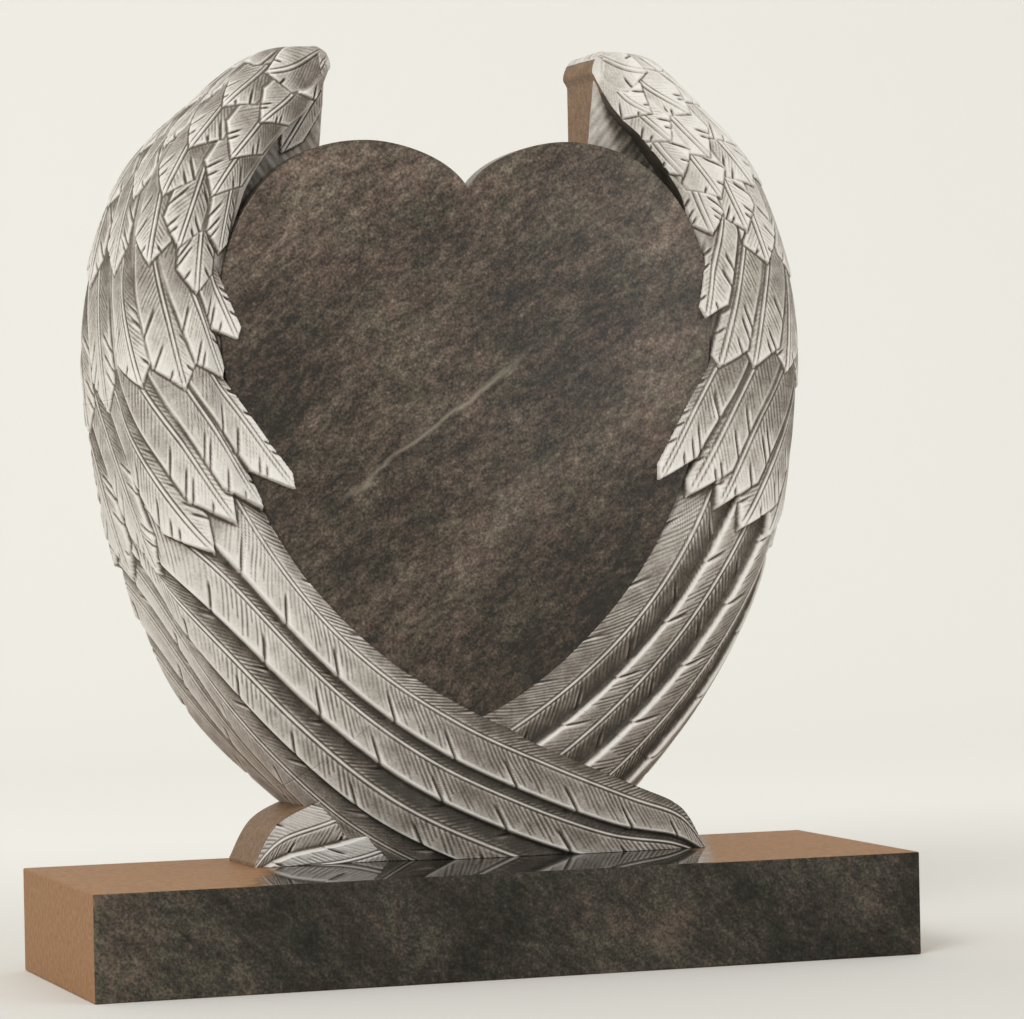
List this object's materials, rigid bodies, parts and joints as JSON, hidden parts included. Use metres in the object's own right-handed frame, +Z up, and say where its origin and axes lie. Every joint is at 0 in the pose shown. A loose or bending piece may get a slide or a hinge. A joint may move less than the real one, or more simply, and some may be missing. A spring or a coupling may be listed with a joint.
{
  "type": "heart headstone",
  "caption": "Granite grave marker: a polished heart slab held by two carved feathered wings that cross below it, standing on a plain rectangular base.",
  "frame": {"origin": "middle of the base's underside, at the ground", "axes": "+Z up, -Y towards the viewer who stands in front of the heart, +X to that viewer's right"},
  "size_m": [0.838, 0.305, 0.9173],
  "materials": {
    "polished_granite": null,
    "carved_granite": null
  },
  "bodies": {
    "root": {"base": "polished_granite", "headstone": "carved_granite"}
  },
  "joints": []
}
